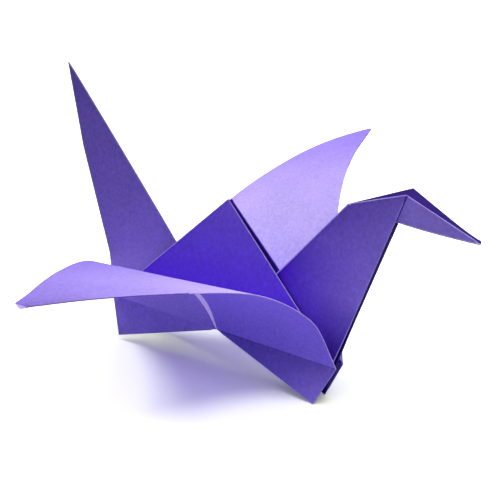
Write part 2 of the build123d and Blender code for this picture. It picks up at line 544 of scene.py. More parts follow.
@dataclass
class FoldPlan:
    """Where the corners of the folds lie, worked out about the crotch under the hump."""

    sheet: PaperSheet = field(default_factory=PaperSheet)

    def __post_init__(self) -> None:
        """Works out the places in the middle plane."""
        sheet = self.sheet
        self.crotch = Vector((0, 0, 0))
        self.summit = Vector((0, 0, sheet.hinge_half))
        self.chest_place = Vector((sheet.hinge_half, 0, 0))
        self.rump_place = Vector((-sheet.hinge_half, 0, 0))
        self.breast_foot_place = self._foot_place(sheet.neck_angle)
        self.tail_foot_place = self._tailward(self._foot_place(sheet.tail_angle))
        self.tail_tip = self._tailward(heading(sheet.tail_angle) * (sheet.flap_length - sheet.tip_wear))
        self.neck_end = heading(sheet.neck_angle) * sheet.flap_length
        self.nape = heading(sheet.neck_angle) * (sheet.flap_length - sheet.head_length)
        self.beak_tip = self.nape + heading(sheet.beak_angle) * (sheet.head_length - sheet.tip_wear)
        fold = heading((sheet.neck_angle + sheet.beak_angle) / 2)
        front = self.neck_end - self.breast_foot_place
        crown = self._meeting(self.nape, fold, self.breast_foot_place, front)
        self.crown_share = (crown - self.breast_foot_place).length / front.length

    @staticmethod
    def _tailward(point: Vector) -> Vector:
        """The same point of the middle plane, on the tail side."""
        return Vector((-point.x, point.y, point.z))

    @staticmethod
    def _meeting(point_a: Vector, along_a: Vector, point_b: Vector, along_b: Vector) -> Vector:
        """Where two lines in the middle plane cross.

        Args:
            point_a: A point of the first line.
            along_a: The way that it runs.
            point_b: A point of the second line.
            along_b: The way that it runs.

        Returns:
            Their common point.
        """
        gap = point_b - point_a
        reach = (gap.x * along_b.z - gap.z * along_b.x) / (along_a.x * along_b.z - along_a.z * along_b.x)
        return point_a + along_a * reach

    def _foot_place(self, angle: float) -> Vector:
        """Where the reverse fold of a leg meets its outer edge.

        Args:
            angle: The angle of the raised leg above the level.

        Returns:
            The place in the middle plane, towards +X.
        """
        sheet = self.sheet
        outer_edge = heading(sheet.hanging_angle - sheet.narrow_angle)
        fold = heading((angle + sheet.hanging_angle) / 2)
        return self._meeting(self.crotch, fold, self.chest_place, outer_edge)

    def top(self, side: Side) -> Vector:
        """The top of the hump's ridge on one side."""
        drift = self.sheet.near_summit_drift if side is Side.NEAR else self.sheet.far_summit_drift
        return spread(self.summit - Vector((drift, 0, 0)), side, self.sheet.summit_spread)

    def chest(self, side: Side) -> Vector:
        """The front end of a wing's hinge."""
        return spread(self.chest_place, side, self.sheet.chest_spread)

    def rump(self, side: Side) -> Vector:
        """The rear end of a wing's hinge."""
        return spread(self.rump_place, side, self.sheet.rump_spread)

    def hinge_middle(self, side: Side) -> Vector:
        """The middle of a wing's hinge."""
        return self.chest(side).lerp(self.rump(side), 1 / 2)

    def breast_foot(self, side: Side) -> Vector:
        """A foot under the breast."""
        drift = self.sheet.far_breast_foot_drift if side is Side.FAR else 0.0
        return spread(self.breast_foot_place, side, self.sheet.breast_foot_spread - drift)

    def tail_foot(self, side: Side) -> Vector:
        """A foot under the tail."""
        sheet = self.sheet
        miss = Vector((-sheet.near_tail_foot_drift, 0, sheet.near_tail_foot_rise)) * (side is Side.NEAR)
        return spread(self.tail_foot_place, side, sheet.tail_foot_spread) + miss

    def crown_level(self, side: Side) -> Vector:
        """The place in the middle plane of the corner at the front of the neck's top.

        Args:
            side: The side that the corner is on.

        Returns:
            The place.
        """
        front = self.neck_end - self.breast_foot_place
        drop = self.sheet.near_crown_drop if side is Side.NEAR else 0
        return self.breast_foot_place + front * self.crown_share - front.normalized() * drop

    def crown(self, side: Side) -> Vector:
        """The corner at the front of the neck's top."""
        return spread(self.crown_level(side), side, self.sheet.crown_spread)

    @property
    def lean_back(self) -> float:
        """The turn about Y that brings all four feet to one level, in degrees."""
        rise = self.tail_foot_place.z - self.breast_foot_place.z
        return -degrees(atan2(rise, self.breast_foot_place.x - self.tail_foot_place.x))


@dataclass
class Stretch:
    """A stretch of paper between two rails that have as many points each."""

    rail_a: list[Vector]
    rail_b: list[Vector]
    # Roughly the way that the front looks. The rails are swapped if they say otherwise.
    outward: Vector
    layers: Layers = Layers.ONE
    lift: float = 0.0
    back_reverse: float = 0.0
    # Painted shade or highlight near the fold at the start: below 0 darker, above 0 paler
    crease: float = 0.0
    # Painted light and shade: how deep and how bright the one violet is painted, at even steps along the
    # first rail, and along the second where that one differs
    dye_depth: tuple[float, ...] = (0.5,)
    rim_depth: tuple[float, ...] | None = None
    shade: tuple[float, ...] = (1.0,)
    rim_shade: tuple[float, ...] | None = None
    back_shade: float = 1.0
    strips: int = 12
    stations: int = 28


@dataclass
class FoldedEdge:
    """The bead of a folded edge: the points that it runs through, its radius and its look."""

    path: list[Vector]
    radius: float
    # How pale the edge is painted, as worn paper and as a highlight, and how deep and bright its painted
    # shade is
    worn: float = 0.3
    dye_depth: float = 0.5
    shade: float = 1.0


class Folder:
    """Makes the bird's mesh, one stretch of paper and one folded edge after another."""

    # Where the rails come closer than this share of the widest place, they have no direction across
    NARROWEST_SHARE = 0.01

    def __init__(self, sheet: PaperSheet, paper: bpy.types.Material) -> None:
        """Keeps the paper and makes the two trees."""
        self.sheet = sheet
        self.paper = paper
        self.sheet_tree = SheetTree()
        self.bead_tree = BeadTree()
        self.meshes: list[bpy.types.Mesh] = []

    def lay(self, name: str, stretch: Stretch) -> None:
        """Adds a stretch of paper.

        Args:
            name: A name for its mesh.
            stretch: Its rails and its look.
        """
        rail_a, rail_b = stretch.rail_a, stretch.rail_b
        frames = self._frames(rail_a, rail_b)
        swapped = sum(facing.dot(stretch.outward) for _, facing, _ in frames) < 0
        if swapped:
            rail_a, rail_b = rail_b, rail_a
            frames = self._frames(rail_a, rail_b)
        base = bpy.data.meshes.new(name)
        base.from_pydata([*rail_a, *rail_b], [], [])
        for label, directions in zip(DIRECTIONS, zip(*frames)):
            kept = base.attributes.new(label, "FLOAT_VECTOR", "POINT")
            kept.data.foreach_set("vector", [number for vector in directions * 2 for number in vector])
        for label, first, second in (
            ("dye_depth", stretch.dye_depth, stretch.rim_depth or stretch.dye_depth),
            ("shade", stretch.shade, stretch.rim_shade or stretch.shade),
        ):
            kept = base.attributes.new(label, "FLOAT", "POINT")
            rails = (second, first) if swapped else (first, second)
            kept.data.foreach_set("value", [n for rail in rails for n in self._spaced(rail, len(rail_a))])
        middles = [a.lerp(b, 1 / 2) for a, b in zip(rail_a, rail_b)]
        self.meshes.append(self.sheet_tree.grown(base, {
            "Rail Points": len(rail_a),
            "Strips": stretch.strips,
            "Stations": stretch.stations,
            "Thickness": self.sheet.thickness * stretch.layers.value,
            "Lift": stretch.lift,
            "Ripple": self.sheet.ripple,
            "Ripple Size": self.sheet.ripple_size,
            "Length": sum((after - before).length for before, after in zip(middles, middles[1:])),
            "Back Reverse": stretch.back_reverse,
            "Crease": stretch.crease,
            "Back Shade": stretch.back_shade,
            "Seed": float(len(self.meshes)),
            "Paper": self.paper,
        }, name))

    def bend(self, name: str, edge: FoldedEdge) -> None:
        """Adds the bead of a folded edge.

        Args:
            name: A name for its mesh.
            edge: Its path and its look.
        """
        base = bpy.data.meshes.new(name)
        base.from_pydata(edge.path, [(step, step + 1) for step in range(len(edge.path) - 1)], [])
        self.meshes.append(self.bead_tree.grown(base, {
            "Radius": edge.radius,
            "Painted Shade Depth": edge.dye_depth,
            "Shade": edge.shade,
            "Worn": edge.worn,
            "Paper": self.paper,
        }, name))

    @staticmethod
    def _spaced(values: tuple[float, ...], points: int) -> list[float]:
        """Values at even steps, read at a number of even points.

        Args:
            values: One value or more.
            points: How many points.

        Returns:
            A value for each point.
        """
        if len(values) == 1:
            return [values[0]] * points
        spaced = []
        for point in range(points):
            place = point / (points - 1) * (len(values) - 1)
            before = min(int(place), len(values) - 2)
            spaced.append(values[before] + (values[before + 1] - values[before]) * (place - before))
        return spaced

    @classmethod
    def _frames(cls, rail_a: list[Vector], rail_b: list[Vector]) -> list[tuple[Vector, Vector, Vector]]:
        """The directions at each point of a pair of rails.

        Args:
            rail_a: The first rail.
            rail_b: The second rail.

        Returns:
            The directions across, outwards and along, for each point.
        """
        middles = [a.lerp(b, 1 / 2) for a, b in zip(rail_a, rail_b)]
        narrowest = max((b - a).length for a, b in zip(rail_a, rail_b)) * cls.NARROWEST_SHARE
        frames = []
        for step, (a, b) in enumerate(zip(rail_a, rail_b)):
            onward = middles[min(step + 1, len(middles) - 1)] - middles[max(step - 1, 0)]
            across = (b - a).normalized() if (b - a).length > narrowest else frames[-1][0]
            facing = across.cross(onward).normalized()
            frames.append((across, facing, onward.normalized()))
        return frames

    def gathered(self, name: str) -> bpy.types.Object:
        """Joins everything that was made.

        Args:
            name: The name of the piece.

        Returns:
            One object with one mesh.
        """
        parts = []
        for mesh in self.meshes:
            part = bpy.data.objects.new(mesh.name, mesh)
            bpy.context.scene.collection.objects.link(part)
            parts.append(part)
        with bpy.context.temp_override(active_object=parts[0], selected_editable_objects=parts):
            bpy.ops.object.join()
        parts[0].name = name
        parts[0].data.name = name
        return parts[0]


@dataclass
class Hump:
    """The middle of the sheet: a triangle on each side, and the walls that run in between them."""

    plan: FoldPlan
    # Painted shade: the sides deeper and darker towards the feet, the hidden walls darkest, and only the
    # near ridge painted pale, as wear and as a highlight
    foot_depth: float = 1.52
    top_depth: float = 0.85
    wall_depth: float = 1.4
    shade: float = 0.86
    wall_shade: float = 0.4
    ridge_wear_and_highlight: float = 0.35

    def fold(self, folder: Folder) -> None:
        """Adds both sides of the hump.

        Args:
            folder: What makes the mesh.
        """
        for side in Side:
            top, chest, rump = self.plan.top(side), self.plan.chest(side), self.plan.rump(side)
            aside = Vector((0, side.value, 0))
            front, rear, crotch = line(chest, top), line(rump, top), line(self.plan.crotch, self.plan.summit)
            name = f"hump_{side.name.lower()}"
            worn = self.ridge_wear_and_highlight if side is Side.NEAR else 0.0
            folder.lay(name, Stretch(
                front, rear, aside, dye_depth=(self.foot_depth, self.top_depth), shade=(self.shade,),
            ))
            for wall, edge in (("front", front), ("rear", rear)):
                folder.lay(f"{name}_{wall}_wall", Stretch(
                    edge, crotch, -aside, dye_depth=(self.wall_depth,), shade=(self.wall_shade,),
                ))
                folder.bend(f"{name}_ridge", FoldedEdge(
                    edge, folder.sheet.fold_radius, worn, self.top_depth, self.shade,
                ))


@dataclass(frozen=True)
class LegLook:
    """The painted light and shade of one leg of the low arch, from the end of the hinge to the foot.

    The rim's values hold from the middle of the hinge to the foot, where they differ.
    """

    hinge_crease_shading: float
    depth: tuple[float, ...]
    shade: tuple[float, ...]
    rim_depth: tuple[float, ...] | None = None
    rim_shade: tuple[float, ...] | None = None


@dataclass
class LowerBody:
    """The triangles under the root of a wing, and the edge that turns under them."""

    plan: FoldPlan
    turned_edge_share: float = 0.05
    breast_look: LegLook = LegLook(-0.6, depth=(0.45, 0.2), shade=(0.68, 1.04))
    tail_look: LegLook = LegLook(
        0.15, depth=(0.3, 0.35), rim_depth=(-0.35, 0.2),
        shade=(0.95, 0.74, 0.88), rim_shade=(1.04, 0.86, 0.88),
    )
    far_shade: float = 0.35

    def fold(self, folder: Folder) -> None:
        """Adds the four legs of the low arch that the bird stands on.

        Args:
            folder: What makes the mesh.
        """
        plan = self.plan
        for side in Side:
            end = side.name.lower()
            self._leg(folder, f"breast_leg_{end}", side, plan.chest(side), plan.breast_foot(side))
            self._leg(folder, f"tail_leg_{end}", side, plan.rump(side), plan.tail_foot(side))

    def _leg(self, folder: Folder, name: str, side: Side, corner: Vector, foot: Vector) -> None:
        """Adds one leg: an outer and an inner layer, and the strip that turns under.

        Args:
            folder: What makes the mesh.
            name: The start of its meshes' names.
            side: The side that it is on.
            corner: The end of the hinge above it.
            foot: Its foot.
        """
        look = self.breast_look if name.startswith("breast") else self.tail_look
        inside_shade = self.far_shade if side is Side.FAR else look.shade[1]
        aside = Vector((0, side.value, 0))
        hinge_middle = self.plan.hinge_middle(side)
        turned_edge = line(hinge_middle.lerp(foot, self.turned_edge_share), foot)
        inner_turn = self.plan.crotch.lerp(foot, self.turned_edge_share)
        outer_edge, inner_edge = line(corner, foot), line(self.plan.crotch, foot)
        folder.lay(f"{name}_outside", Stretch(
            outer_edge, line(hinge_middle, foot), aside, lift=folder.sheet.thickness / 2,
            crease=look.hinge_crease_shading, dye_depth=look.depth, rim_depth=look.rim_depth, shade=look.shade,
            rim_shade=look.rim_shade,
        ))
        folder.lay(f"{name}_inside", Stretch(outer_edge, inner_edge, -aside, shade=(inside_shade,)))
        folder.lay(f"{name}_turned_edge", Stretch(turned_edge, line(inner_turn, foot), Vector((0, 0, -1))))
        for edge in (outer_edge, turned_edge, inner_edge):
            folder.bend(f"{name}_fold", FoldedEdge(edge, folder.sheet.fold_radius, shade=inside_shade))


@dataclass
class Neck:
    """The neck and the beak, each a V of two walls that is closed at the back and open at the front.

    The neck's walls stay close together inside the body, and flare only below it, to the feet.
    """

    plan: FoldPlan
    flare_share: float = 0.45
    # Along the closed fold from the crotch to the nape, and along the open edge from the foot to the
    # crown: painted shade, deepest and darkest where the hump and the wing enclose it
    spine_depth: tuple[float, ...] = (1.6, 1.6, 1.45, 0.85, 0.75)
    edge_depth: tuple[float, ...] = (1.4, 1.35, 0.35, 0.3, 0.45)
    spine_shade: tuple[float, ...] = (0.55, 0.62, 0.72, 0.75, 0.62)
    edge_shade: tuple[float, ...] = (0.33, 0.37, 0.97, 0.94, 0.68)
    # Painted light and shade: the near beak wall painted paler, the far beak wall and the grooves deeper and
    # darker, and the point brighter
    beak_depth: float = -0.2
    beak_shade: float = 0.96
    groove_depth: float = 1.1
    groove_shade: float = 0.35
    beak_inside_shade: float = 0.6
    point_shade: float = 1.3
    point_wear_and_highlight: float = 1.0
    # How far the beak's closed fold bends down, and how high its far wall ends above the tip
    beak_sag: float = 0.6 * MM
    far_tip_rise: float = 0.55 * MM
    rise_power: int = 6
    # How much of the beak the pale point takes up, as rubbed wear and a painted highlight, and where the
    # closed fold leaves the throat
    pale_point_share: float = 0.045
    throat_share: float = 0.36
    # Painted shadow: a dark bead just in front of the near crown, in the gap between the neck and the beak
    throat_shade: float = 0.45
    throat_gap: float = 0.2 * MM
    # Only the near edges of the neck and head are painted pale, as wear and as a highlight
    edge_wear_and_highlight: float = 0.25
    top_edge_wear_and_highlight: float = 0.42
    steps: int = 24
    stations: int = 48

    def front_edge(self, side: Side) -> list[Vector]:
        """The open edge of one wall.

        Args:
            side: The side that the wall is on.

        Returns:
            Points from its foot to the crown.
        """
        sheet = self.plan.sheet
        foot, crown = self.plan.breast_foot_place, self.plan.crown_level(side)
        points = []
        for share in shares(self.steps):
            flare = max(0, 1 - share / self.flare_share) ** 2
            distance = sheet.neck_wall_spread + (sheet.crown_spread - sheet.neck_wall_spread) * share
            distance += (abs(self.plan.breast_foot(side).y) - sheet.neck_wall_spread) * flare
            points.append(spread(foot.lerp(crown, share), side, distance))
        return points

    def beak_spine(self) -> list[Vector]:
        """The beak's closed fold, which bends down a little.

        Returns:
            Points from the nape to the tip.
        """
        points = line(self.plan.nape, self.plan.beak_tip, self.steps)
        sags = [self.beak_sag * sin(pi * share) for share in shares(self.steps)]
        return [point - Vector((0, 0, sag)) for point, sag in zip(points, sags)]

    def beak_top(self, side: Side) -> list[Vector]:
        """The beak's open edge on one side. The far one ends blunt.

        Args:
            side: The side that the edge is on.

        Returns:
            Points from the crown to the tip.
        """
        rise = self.far_tip_rise if side is Side.FAR else 0.0
        points = line(self.plan.crown(side), self.plan.beak_tip, self.steps)
        rises = [rise * share ** self.rise_power for share in shares(self.steps)]
        return [point + Vector((0, 0, extra)) for point, extra in zip(points, rises)]

    def fold(self, folder: Folder) -> None:
        """Adds the walls, their open edges and the closed spines.

        Args:
            folder: What makes the mesh.
        """
        plan, sheet = self.plan, folder.sheet
        beak_spine = self.beak_spine()
        for side in Side:
            aside = Vector((0, side.value, 0))
            edge = self.front_edge(side)
            name, near = side.name.lower(), side is Side.NEAR
            folder.lay(f"neck_{name}", Stretch(
                line(plan.crotch, plan.nape, self.steps), edge, aside, Layers.TWO,
                dye_depth=self.spine_depth, rim_depth=self.edge_depth,
                shade=self.spine_shade, rim_shade=self.edge_shade,
                back_shade=self.groove_shade, stations=self.stations,
            ))
            top = self.beak_top(side)
            folder.lay(f"beak_{name}", Stretch(
                beak_spine, top, aside, Layers.TWO,
                dye_depth=(self.beak_depth if near else self.groove_depth,),
                shade=(self.beak_shade,), back_shade=self.beak_inside_shade,
            ))
            # The far edges are not painted pale, and are painted in the groove's shade
            worn, top_wear_and_highlight = (self.edge_wear_and_highlight, self.top_edge_wear_and_highlight) if near else (0.0, 0.0)
            bead_shade = 1.0 if near else self.groove_shade
            folder.bend(f"neck_edge_{name}", FoldedEdge(edge, sheet.fold_radius, worn, shade=bead_shade))
            for path in (line(plan.nape, plan.crown(side)), top):
                folder.bend(f"head_edge_{name}", FoldedEdge(
                    path, sheet.fold_radius, top_wear_and_highlight, shade=bead_shade,
                ))
        radius = sheet.spine_radius
        # Painted shadow: a dark bead a little in front of the near crown's edge, down to the beak's closed
        # fold
        aside = Vector((self.throat_gap, -self.throat_gap, 0))
        throat = [plan.crown(Side.NEAR) + aside, beak_spine[round(self.throat_share * self.steps)] + aside]
        point = [plan.beak_tip.lerp(plan.nape, self.pale_point_share), plan.beak_tip]
        for name, edge in (
            ("throat_shadow_bead", FoldedEdge(throat, radius, 0.0, self.groove_depth, self.throat_shade)),
            ("beak_point", FoldedEdge(point, radius, self.point_wear_and_highlight, self.beak_depth, self.point_shade)),
            ("neck_spine", FoldedEdge([plan.crotch, plan.nape], radius)),
            ("beak_spine", FoldedEdge(beak_spine, radius, dye_depth=self.beak_depth)),
        ):
            folder.bend(name, edge)


@dataclass
class Tail:
    """The tail: a V of two walls, closed at the back, that flares towards its feet."""

    plan: FoldPlan
    near_wall_spread: float = 1.8 * MM
    far_wall_spread: float = 3.0 * MM
    # The walls flare over this share of their length from the feet, and close over this one at the tip
    flare_share: float = 0.3
    tip_share: float = 0.3
    # How far the closed fold stands forward of a straight line
    spine_bow: float = 0.4 * MM
    bow_power: float = 1 / 2
    # Painted shade: deeper and darker towards the tip, and darker on the back in the groove
    dye_depth: tuple[float, float] = (0.22, 0.65)
    shade: tuple[float, float] = (0.94, 0.49)
    groove_shade: float = 0.4
    steps: int = 40
    stations: int = 48

    def outer_edge(self, side: Side) -> list[Vector]:
        """The open edge of one wall.

        Args:
            side: The side that the wall is on.

        Returns:
            Points from its foot to the tip.
        """
        foot, tip = self.plan.tail_foot(side), self.plan.tail_tip
        foot_place = Vector((foot.x, 0, foot.z))
        wall_spread = self.near_wall_spread if side is Side.NEAR else self.far_wall_spread
        extra = abs(foot.y) - wall_spread
        points = []
        for share in shares(self.steps):
            flare = max(0, 1 - share / self.flare_share)
            distance = wall_spread * min(1, (1 - share) / self.tip_share) + extra * flare
            points.append(spread(foot_place.lerp(tip, share), side, distance))
        return points

    def spine(self) -> list[Vector]:
        """The closed fold.

        Returns:
            Points from the crotch to the tip.
        """
        forward = heading(self.plan.sheet.square_angle - self.plan.sheet.tail_angle)
        points = line(self.plan.crotch, self.plan.tail_tip, self.steps)
        bows = [self.spine_bow * sin(pi * share) ** self.bow_power for share in shares(self.steps)]
        return [point + forward * bow for point, bow in zip(points, bows)]

    def fold(self, folder: Folder) -> None:
        """Adds the walls, their open edges and the closed spine.

        Args:
            folder: What makes the mesh.
        """
        spine = self.spine()
        for side in Side:
            aside = Vector((0, side.value, 0))
            edge = self.outer_edge(side)
            name = f"tail_{side.name.lower()}"
            folder.lay(name, Stretch(
                spine, edge, aside, Layers.TWO, dye_depth=self.dye_depth, shade=self.shade,
                back_shade=self.groove_shade, stations=self.stations,
            ))
            folder.bend(f"{name}_edge", FoldedEdge(edge, folder.sheet.fold_radius, shade=self.shade[1]))
        folder.bend("tail_spine", FoldedEdge(spine, folder.sheet.spine_radius, shade=self.shade[1]))


@dataclass(frozen=True)
class Bulge:
    """How far an edge stands out of its line, around one place."""

    distance: float
    # The middle of the bulge and how far it reaches, as shares of the edge's length
    share: float
    reach_share: float
    # Whether it swells softly or comes to a corner
    soft: bool = True

    def at(self, share: float) -> float:
        """The distance at a share of the edge's length."""
        held = max(0.0, 1 - abs(share - self.share) / self.reach_share)
        return self.distance * (eased(held) if self.soft else held)


@dataclass
class Wing:
    """One bent wing: the flap, and on its outer face two side flaps with the slit between them.

    Straight lines across the wing swing and tilt, and its middle line bends from root to tip.
    """

    plan: FoldPlan
    side: Side
    # Angle of the middle line above the level, at the hinge and at the tip
    root_angle: float
    tip_angle: float
    # Where along the wing the bend starts and ends, as shares of its length
    start_share: float
    end_share: float
    # How far the wing leans forward, and how its cross lines turn and tilt
    sweep_angle: float
    swing_angle: float
    mid_bank_angle: float
    tip_bank_angle: float
    # How the two long edges stand out of their straight folds, and the blunt end between them
    leading_bulge: Bulge
    rear_bulge: Bulge
    tip_width: float
    # The inner face's painted light and shade, along the rear edge and, where it differs, along the leading
    # edge: paler near the root, deeper and darker towards the tip
    inner_depth: tuple[float, ...]
    inner_shade: tuple[float, ...]
    leading_depth: tuple[float, ...] | None = None
    leading_shade: tuple[float, ...] | None = None
    # How much shorter the worn tip makes the wing, how far it twists, and how suddenly
    tip_loss: float = 0.2 * MM
    tip_twist_angle: float = 0.0
    twist_power: int = 24
    slit_width: float = 2.3 * MM
    slit_mouth_width: float = 0.3 * MM
    # How far the slit drifts towards the tail half way along the wing
    slit_drift: float = 2.0 * MM
    slit_open_share: float = 0.15
    # How far the side flaps hang off the wing at its very tip, and how suddenly
    tip_droop: float = 0.7 * MM
    droop_power: int = 12
    # Painted shade along the front flap's hinge, and painted light and shade on the two side flaps
    hinge_crease_shading: float = -0.6
    rear_flap_depth: float = -0.15
    front_flap_depth: float = 0.28
    rear_flap_shade: tuple[float, ...] = (0.98, 1.1, 1.08)
    front_flap_shade: tuple[float, ...] = (1.12, 1.12, 1.08)
    # The folded edges are painted pale near the root, as wear and as a highlight, and painted in shade
    # towards the tip
    edge_wear_and_highlight: float = 0.85
    tip_edge_shade: float = 0.6
    tip_edge_share: float = 0.6
    # How finely the middle line, the edges and the paper between them are divided
    steps: int = 30
    finer: int = 4
    flap_strips: int = 40
    side_flap_strips: int = 20
    flap_stations: int = 120

    def __post_init__(self) -> None:
        """Works out the middle line, and the direction and half width of each cross line."""
        plan, sheet = self.plan, self.plan.sheet
        root_swing = degrees(atan2(sheet.rump_spread - sheet.chest_spread, 2 * sheet.hinge_half))
        middle, aside, outward = plan.hinge_middle(self.side), self.side.value, self.heading(0)
        self.stations = []
        for share in shares(self.steps):
            onward = self.heading(share)
            reach = (sheet.flap_length - sheet.tip_wear - self.tip_loss) / self.steps if share else 0
            middle = middle + (outward + onward) * (reach / 2)
            outward = onward
            swing = radians(root_swing + (self.swing_angle - root_swing) * share)
            twist = self.tip_twist_angle * share ** self.twist_power
            bank = radians(self.mid_bank_angle * sin(pi * share) + self.tip_bank_angle * share + twist)
            across = Vector((cos(swing) * cos(bank), -aside * sin(swing) * cos(bank), sin(bank)))
            inward = across.cross(outward).normalized() * aside
            half = sheet.hinge_half * (1 - share) + self.tip_width / 2 * share * share
            opening = min(share / self.slit_open_share, 1) * (1 - share)
            gap = (self.slit_mouth_width + (self.slit_width - self.slit_mouth_width) * opening) / 2
            gap *= 1 - share ** self.droop_power
            drift = across * self.slit_drift * sin(pi * share)
            self.stations.append((middle, across, inward, half, min(gap, half / 2), drift))

    def heading(self, share: float) -> Vector:
        """The way that the middle line runs.

        Args:
            share: A share of the wing's length, from the hinge.

        Returns:
            A unit vector.
        """
        turn = eased((share - self.start_share) / (self.end_share - self.start_share))
        rise = radians(self.root_angle + (self.tip_angle - self.root_angle) * turn)
        lean = radians(self.sweep_angle * share)
        return Vector((sin(lean), self.side.value * cos(lean) * cos(rise), cos(lean) * sin(rise)))

    def edge(self, end: int) -> list[Vector]:
        """One long edge of the wing.

        Args:
            end: -1 for the rear edge, or 1 for the leading edge.

        Returns:
            Points from the hinge to the tip.
        """
        bulge = self.leading_bulge if end > 0 else self.rear_bulge
        points = []
        for share, (middle, across, _, half, _, _) in zip(shares(self.steps), self.stations):
            points.append(middle + across * (half + bulge.at(share)) * end)
        return smooth_run(points, self.finer)

    def slit_edge(self, end: int) -> list[Vector]:
        """The raw edge of one side flap, along the slit.

        Args:
            end: -1 for the rear flap, or 1 for the front flap.

        Returns:
            Points from the hinge to the tip.
        """
        points = []
        for share, (middle, across, inward, _, gap, drift) in zip(shares(self.steps), self.stations):
            droop = self.tip_droop * share ** self.droop_power
            points.append(middle - drift + across * gap * end - inward * droop)
        return smooth_run(points, self.finer)

    def fold(self, folder: Folder) -> None:
        """Adds the flap, the side flaps and the folded edges between them.

        Args:
            folder: What makes the mesh.
        """
        sheet = folder.sheet
        name = f"{self.side.name.lower()}_wing"
        inward = self.stations[0][2]
        folder.lay(name, Stretch(
            self.edge(-1), self.edge(1), inward, lift=sheet.thickness / 2,
            back_reverse=1.0, dye_depth=self.inner_depth, rim_depth=self.leading_depth,
            shade=self.inner_shade, rim_shade=self.leading_shade,
            strips=self.flap_strips, stations=self.flap_stations,
        ))
        for end, depth, shade in (
            (-1, self.rear_flap_depth, self.rear_flap_shade),
            (1, self.front_flap_depth, self.front_flap_shade),
        ):
            folder.lay(f"{name}_side_flap", Stretch(
                self.edge(end), self.slit_edge(end), -inward, lift=sheet.thickness / 2, back_reverse=1.0,
                crease=self.hinge_crease_shading if end > 0 else 0.0, dye_depth=(depth,), shade=shade,
                strips=self.side_flap_strips, stations=self.flap_stations,
            ))
            edge = self.edge(end)
            turn = round(self.tip_edge_share * (len(edge) - 1))
            folder.bend(f"{name}_edge", FoldedEdge(edge[:turn + 1], sheet.wing_fold_radius, self.edge_wear_and_highlight))
            folder.bend(f"{name}_tip_edge", FoldedEdge(
                edge[turn:], sheet.wing_fold_radius, 0.0, shade=self.tip_edge_shade,
            ))


@dataclass(frozen=True)
class PaperFinish:
    """Matt violet paper, dyed on one side, with a white reverse."""

    # Painted light and shade: the paper's one violet, painted paler where it stands for light and deeper and
    # darker where it stands for shade
    painted_lit_violet: tuple[float, float, float] = (0.482, 0.364, 0.95)
    painted_shaded_violet: tuple[float, float, float] = (0.232, 0.124, 0.88)
    reverse: tuple[float, float, float] = (0.86, 0.84, 0.92)
    # The pale of folded edges, for worn paper and for painted highlights
    worn: tuple[float, float, float] = (0.80, 0.75, 0.98)
    # A painted glow on the reverse, in place of the light that one layer of the thin paper lets through
    painted_glow_through: tuple[float, float, float] = (0.15, 0.11, 0.26)
    roughness: float = 0.78
    specular_level: float = 0.12
    # How far the painted shade or highlight of a crease reaches, and how strong it is
    crease_reach: float = 0.35 * MM
    crease_shading_strength: float = 0.5
    # The fibres of the paper, and the clouds that they form against the light
    fibre_size: float = 0.8 * MM
    fibre_detail: float = 3.0
    fibre_roughness: float = 0.65
    fibre_contrast: float = 0.7
    cloud_size: float = 9 * MM
    cloud_detail: float = 2.0
    cloud_roughness: float = 0.5
    cloud_contrast: float = 0.2
    # How far a worn or highlighted edge is painted pale between the fibres, and how much further on them
    wear_and_highlight_least: float = 0.4
    wear_and_highlight_on_fibres: float = 1.2
    bump_height: float = 0.02 * MM
    bump_strength: float = 0.5

    def material(self) -> bpy.types.Material:
        """Makes the material.

        Returns:
            The material.
        """
        made = bpy.data.materials.new("violet_paper")
        tree = Tree.of(made)
        depth, reverse, shade, worn, crease, crease_distance = (
            tree.node("ShaderNodeAttribute", {"attribute_name": name}, output="Fac")
            for name in ("dye_depth", "reverse", "shade", "worn", "crease", "crease_distance")
        )
        place = tree.node("ShaderNodeTexCoord", output="Object")
        fibres = self._noise(tree, place, self.fibre_size, self.fibre_detail, self.fibre_roughness)
        clouds = self._noise(tree, place, self.cloud_size, self.cloud_detail, self.cloud_roughness)
        light = 1.0 + (fibres - 0.5) * self.fibre_contrast + (clouds - 0.5) * self.cloud_contrast
        # Painted light and shade: the violet is mixed by the painted shade depth and scaled by the painted
        # shade
        colour = tree.mixed("RGBA", depth, (*self.painted_lit_violet, 1), (*self.painted_shaded_violet, 1))
        colour = tree.mixed("RGBA", reverse, colour, (*self.reverse, 1))
        colour = tree.scaled(colour, light * shade)
        # Folded edges painted pale between and on the fibres, as wear and as a highlight
        wear_and_highlight_mask = (self.wear_and_highlight_least + fibres * self.wear_and_highlight_on_fibres) * worn
        colour = tree.mixed("RGBA", wear_and_highlight_mask.clamped(), colour, (*self.worn, 1))
        # Painted shade or highlight near a crease
        near_crease = (1.0 - crease_distance / self.crease_reach).clamped()
        colour = tree.scaled(colour, 1.0 + near_crease * crease * self.crease_shading_strength)
        # Painted glow: the reverse emits light in place of light let through the paper
        through = tree.node("ShaderNodeCombineXYZ", inputs=dict(enumerate(self.painted_glow_through)))
        tree.end("ShaderNodeOutputMaterial", tree.node("ShaderNodeBsdfPrincipled", inputs={
            "Base Color": colour,
            "Roughness": self.roughness,
            "Specular IOR Level": self.specular_level,
            "Emission Color": tree.scaled(through, reverse),
            "Emission Strength": 1.0,
            "Normal": tree.node("ShaderNodeBump", inputs={
                "Strength": self.bump_strength, "Distance": self.bump_height, "Height": fibres,
            }),
        }))
        return made

    @staticmethod
    def _noise(tree: Tree, place: Socket, size: float, detail: float, roughness: float) -> Socket:
        """Noise with features of about that size, between 0 and 1."""
        inputs = {"Vector": place, "Scale": 1 / size, "Detail": detail, "Roughness": roughness}
        return tree.node("ShaderNodeTexNoise", inputs=inputs)


@dataclass(frozen=True)
class Lamp:
    """A soft lamp far away: which way it stands, how wide it looks and how much light it gives."""

    name: str
    # From straight overhead, and then around the vertical from +X towards +Y
    tilt: float
    turn: float
    spread: float
    strength: float


